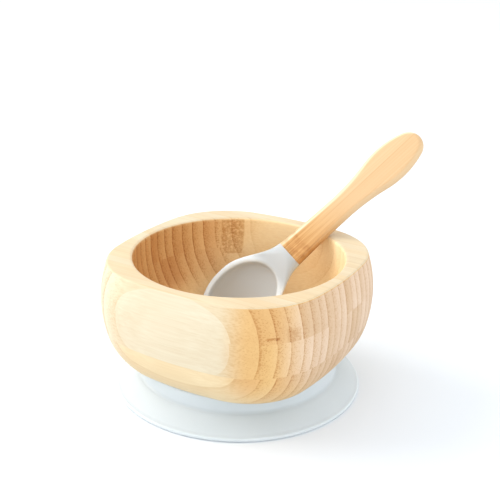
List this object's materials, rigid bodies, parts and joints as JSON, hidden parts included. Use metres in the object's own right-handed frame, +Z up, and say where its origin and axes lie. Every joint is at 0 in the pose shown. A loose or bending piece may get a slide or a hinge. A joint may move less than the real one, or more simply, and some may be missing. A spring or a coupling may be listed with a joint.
{
  "type": "suction bowl",
  "caption": "Round-cornered square bamboo feeding bowl on a peel-off silicone suction ring, with a matching bamboo-handled silicone spoon resting in it.",
  "frame": {"origin": "centre of the bowl on the plane the suction ring stands on", "axes": "+Z up through the bowl's mouth, -Y towards the flat face with the pale outermost strip, X along the bamboo's grain"},
  "size_m": [0.116, 0.1394, 0.1124],
  "materials": {
    "bamboo": "satin",
    "spoon_bamboo": "satin",
    "silicone": "matte"
  },
  "bodies": {
    "base": {"suction_ring": "silicone"},
    "bowl": {"foot_board": "bamboo", "lower_wall_board": "bamboo", "upper_wall_board": "bamboo", "rim_board": "bamboo"},
    "spoon": {"spoon_handle": "spoon_bamboo", "spoon_head": "silicone"}
  },
  "joints": [
    {"name": "bowl_release", "type": "slide", "parent": "base", "child": "bowl", "axis": [0, 0, 1], "range_m": [0, 0.045], "deforming": ["suction_ring"]},
    {"name": "spoon_lift", "type": "slide", "parent": "bowl", "child": "spoon", "axis": [0, 0, 1], "range_m": [0, 0.09]}
  ]
}
